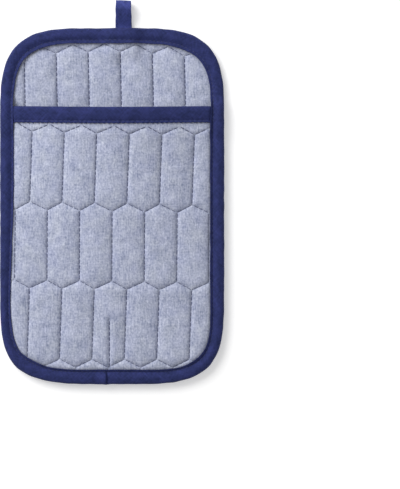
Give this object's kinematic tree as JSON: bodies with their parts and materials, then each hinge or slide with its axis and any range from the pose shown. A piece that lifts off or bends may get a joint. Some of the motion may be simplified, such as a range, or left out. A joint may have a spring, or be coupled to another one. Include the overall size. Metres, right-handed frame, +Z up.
{
  "type": "pot holder",
  "caption": "Long rounded pot holder of quilted blue chambray with a hand pocket, navy edge binding, a navy grip back and a hanging loop, lying on its back.",
  "frame": {"origin": "on the surface it lies on, under the middle of its whole length and width, the hanging loop included", "axes": "+X to the right of the quilted front, +Y towards the hanging loop, +Z up out of the front"},
  "size_m": [0.16, 0.2748, 0.0193],
  "materials": {
    "chambray": "matte quilted cotton chambray",
    "navy_tape": "matte cotton tape",
    "grip_cloth": "matte knit with small pale oval dots"
  },
  "bodies": {
    "root": {"back_panel": "grip_cloth", "body_panel": "chambray", "pocket_panel": "chambray", "pocket_band": "navy_tape", "edge_binding": "navy_tape", "hanging_loop": "navy_tape"}
  },
  "joints": []
}
